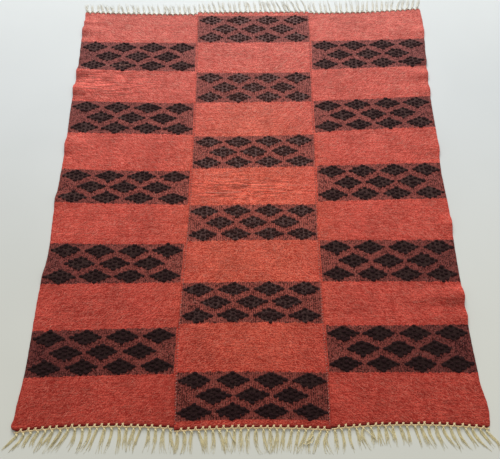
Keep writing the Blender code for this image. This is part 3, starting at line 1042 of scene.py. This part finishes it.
def add_lock(shape, knot, outward, lean, length):
    """Loose yarns and hairs of one lock, which part into two strands towards the tip."""
    bend = rng.gauss(0, 0.003)
    drifts = (rng.gauss(0, 0.005), rng.gauss(0, 0.005))
    fray = rng.uniform(0.2, 2.0)
    for yarn in range(YARNS_PER_LOCK + HAIRS_PER_LOCK):
        is_hair = yarn >= YARNS_PER_LOCK
        spread = rng.uniform(-1.5, 1.5) if is_hair else (yarn + 0.5) / YARNS_PER_LOCK * 2 - 1
        stretch = rng.uniform(0.7, 1.15) if is_hair else rng.uniform(0.45, 1.0)
        sway = rng.gauss(0, 0.001)
        layer = 0.0006 * (yarn % 3)
        path = []
        steps = len(YARN_TAPER) - 1
        for step in range(steps + 1):
            share = step / steps * stretch
            body = LOCK_HALF_WIDTH + LOCK_FRAY * (fray - 0.4) * float(smooth_step(share * 1.6))
            x = knot.x + (lean + drifts[yarn % 2]) * share ** 1.2 + bend * math.sin(math.pi * share)
            x += spread * body + sway * math.sin(2 * math.pi * share)
            y = knot.y + outward * length * share
            x, y = trimmed(x, y)
            fall = float(smooth_step(share * 3.0))
            z = mix(knot.z - 0.0016, LYING_HEIGHT, fall) + layer * (1 - 0.6 * fall)
            path.append((x, y, z))
        if is_hair:
            shape.tube(path, HAIR_RADIUS, 3)
        else:
            shape.tube(path, YARN_RADIUS, 5, YARN_TAPER)


def add_stray(shape, places):
    """A loose yarn that lies across the locks, twisted of three plies."""
    path = []
    for (start, start_along), (stop, stop_along) in zip(places, places[1:]):
        for step in range(3):
            path.append((mix(start, stop, step / 3), mix(start_along, stop_along, step / 3)))
    path.append(places[-1])
    for ply in range(3):
        strand = []
        for step, (x, y) in enumerate(path):
            angle = 2 * math.pi * (step / 3 + ply / 3)
            strand.append((x + 0.0007 * math.cos(angle), y, 0.0034 + 0.0006 * math.sin(angle)))
        taper = [1.0] * (len(path) - 1) + [0.3]
        shape.tube(strand, STRAY_RADIUS, 5, taper)


def add_knot(shape, knot, outward):
    """A tight knot: a slanting turn of yarn over a smaller one."""
    slant = 0.0026 + rng.gauss(0, 0.0008)
    size = rng.uniform(0.8, 1.15)
    for side, radius, lift in ((1, 0.0019, 0.0016), (-1, 0.0014, 0.0002)):
        path = []
        for step in range(5):
            share = step / 2 - 1
            path.append((
                knot.x + side * slant * share,
                knot.y + outward * share * KNOT_LENGTH * size,
                knot.z + lift - 0.0014 * share * share,
            ))
        shape.tube(path, radius * size, 6, KNOT_TAPER)


def add_band(shape, strip_name, line, outward, band_out):
    """Two yarns twisted together that lie along the end of the cloth."""
    steps = LOCKS_PER_STRIP * 8
    for ply in (0, 1):
        path = []
        for step in range(steps + 1):
            share = 0.004 + 0.992 * step / steps
            edge = float(along_at(line, share))
            phase = 2 * math.pi * step / 6 + math.pi * ply
            path.append((
                float(across_at(strip_name, edge, share)),
                edge + outward * (band_out + TWIST_RADIUS * math.cos(phase)),
                BAND_HEIGHT + TWIST_RADIUS * math.sin(phase),
            ))
        shape.tube(path, BAND_RADIUS, 5, finish=1)


def add_stitches(shape, strip_name, knots, outward, band_out):
    """Yarns that rise from two neighbouring knots and cross over the cloth's edge."""
    for (first, first_edge), (second, second_edge) in zip(knots, knots[1:]):
        edge = (first_edge + second_edge) / 2
        middle = (first.x + second.x) / 2 + rng.gauss(0, 0.001)
        peak = edge - outward * (PEAK_IN + rng.gauss(0, 0.001))
        band = edge + outward * band_out
        tip = middle + rng.uniform(0.0005, 0.0035)
        over = top_point(strip_name, middle, edge - outward * 0.004) + 0.0008
        for side, knot in ((-1, first), (1, second)):
            path = (
                (mix(knot.x, middle, 0.25), mix(knot.y, band, 0.6), 0.0042),
                (mix(knot.x, middle, 0.45), mix(knot.y, band, 0.9), 0.0048),
                (mix(middle, tip, 0.5) + side * 0.0034, band - outward * 0.0012, 0.0052),
                (tip + side * 0.0007, mix(band, peak, 0.6), over),
                (tip - side * 0.003, peak + outward * 0.0004 * side, over - 0.0003),
            )
            shape.tube(path, HOOK_RADIUS, 6, HOOK_TAPER, finish=1)


def make_sewing(line, strip_name, material):
    """Overhand stitches that join two strips; they show more on the centre strip."""
    shape = Shape()
    shift = STITCH_SHIFT if line == "left_join" else -STITCH_SHIFT
    along, stop = SEWN_LENGTH
    while along > stop:
        x = float(line_at(line, along)) + shift
        half = 0.0028 + rng.uniform(-0.001, 0.0008)
        slant = 0.0018 + rng.gauss(0, 0.001)
        z = top_point(strip_name, x, along)
        path = []
        for step in range(6):
            share = step / 5
            side = 2 * share - 1
            path.append((x + side * half, along + side * slant, z + 0.001 - 0.002 * side * side))
        shape.tube(path, STITCH_RADIUS, 6)
        along -= STITCH_PITCH + rng.uniform(-STITCH_SPREAD, STITCH_SPREAD)
    return shape.link("sewing_" + line, material)


def thread_places(thread):
    """Places along a thread, which bows a little to one side."""
    steps = max(2, round(thread.length / THREAD_STEP))
    heading = math.radians(thread.turn)
    bow = rng.uniform(-0.1, 0.1) * min(thread.length, THREAD_STEP)
    places = []
    for step in range(steps + 1):
        share = step / steps - 0.5
        ahead = thread.length * share
        aside = bow * (1 - 4 * share * share)
        places.append((
            thread.across + ahead * math.cos(heading) - aside * math.sin(heading),
            thread.along + ahead * math.sin(heading) + aside * math.cos(heading),
        ))
    return places


def make_fibres(strip_name, material):
    """Loose fibres that lie on the red wool, brushed as its flecks are, and the single threads."""
    threads = find(THREADS, strip=strip_name)
    plain = [(start, stop) for start, stop, is_block in strip_spans(strip_name) if not is_block]
    lengths = [start[0] - stop[0] for start, stop in plain]
    for start, stop in rng.choices(plain, lengths, k=FIBRES_PER_STRIP):
        share = rng.uniform(0.03, 0.97)
        along = float(mix(along_at(start, share), along_at(stop, share), rng.uniform(0.06, 0.94)))
        across = float(across_at(strip_name, along, share))
        quarter = across * (along - NAP_MIDDLE)
        lean = float(smooth_step(0.5 + quarter / (2 * NAP_BLEND)))
        brushed = rng.gauss(mix(FALLING, RISING, lean), 22)
        turn = rng.gauss(0, 8) if rng.random() < LEVEL_FIBRES else brushed
        threads.append(Thread(strip_name, across, along, rng.uniform(*FIBRE_LENGTHS), turn, FIBRE_RADIUS))
    paths = [thread_places(thread) for thread in threads]
    spots = np.array([place for path in paths for place in path])
    heights = iter(topside(strip_name, spots[:, 0], spots[:, 1]))
    shape = Shape()
    for thread, path in zip(threads, paths):
        shape.tube([(x, y, next(heights) + thread.radius * 0.6) for x, y in path], thread.radius, 3)
    return shape.link("fibres_" + strip_name, material)


def make_camera():
    data = bpy.data.cameras.new("camera")
    data.sensor_width = SENSOR
    data.lens = FOCAL_PIXELS / PHOTO_WIDTH * SENSOR
    camera = bpy.data.objects.new("camera", data)
    camera.location = CAMERA_PLACE
    camera.rotation_euler = [math.radians(angle) for angle in CAMERA_TURN]
    bpy.context.scene.collection.objects.link(camera)
    bpy.context.scene.camera = camera


def make_floor():
    graph = Graph("floor_white")
    place = graph.place()
    near_share = graph.span(graph.split(place)[1], 0.5, -1.0)
    cloudy = graph.span(graph.noise(place, *CLOUDS["floor"]), 0.3, 0.7)
    colour = graph.blend(cloudy, graph.blend(near_share, *FLOOR_DARK), graph.blend(near_share, *FLOOR_LIGHT))
    half = FLOOR_HALF
    shape = Shape()
    shape.add([(-half, -half, 0), (half, -half, 0), (half, half, 0), (-half, half, 0)], [(0, 1, 2, 3)])
    floor = shape.link("floor", graph.finish(colour))
    floor.location.z = -FLOOR_DROP


def add_lamp(lamp):
    data = bpy.data.lights.new(lamp.name, "AREA")
    data.size = lamp.size
    data.energy = lamp.power
    data.color = lamp.colour
    light = bpy.data.objects.new(lamp.name, data)
    light.location = lamp.place
    ahead = Vector(lamp.target) - Vector(lamp.place)
    light.rotation_euler = ahead.to_track_quat("-Z", "Y").to_euler()
    bpy.context.scene.collection.objects.link(light)


def make_light():
    world = bpy.data.worlds.new("studio")
    world.use_nodes = True
    backdrop = world.node_tree.nodes["Background"]
    backdrop.inputs["Color"].default_value = SKY_COLOUR
    backdrop.inputs["Strength"].default_value = SKY_STRENGTH
    bpy.context.scene.world = world
    bpy.context.scene.view_settings.view_transform = "Standard"
    for lamp in LAMPS:
        add_lamp(lamp)


def build():
    make_camera()
    make_light()
    make_floor()
    pile = pile_material()
    wool = yarn_material("fringe_wool")
    binding = yarn_material("binding_wool")
    thread = yarn_material("sewing_thread")
    fibre = yarn_material("loose_wool")
    for strip_name in STRIPS:
        cloth, flat = make_cloth(strip_name)
        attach(cloth, "root")
        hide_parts("panel_" + strip_name)
        lozenges = make_lozenges(strip_name, pile)
        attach(lozenges, "root")
        fibres = make_fibres(strip_name, fibre)
        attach(fibres, "root")
        lock_noise = random.Random(LOCK_SEED)
        for fringe in find(FRINGES, strip=strip_name):
            yarns = make_fringe(fringe, lock_noise, wool, binding)
            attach(yarns, "root")
            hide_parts("fringe_" + fringe.end + "_" + fringe.strip)
        if strip_name != "left":
            line = "left_join" if strip_name == "centre" else "right_join"
            sewing = make_sewing(line, strip_name, thread)
            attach(sewing, "root")


build()
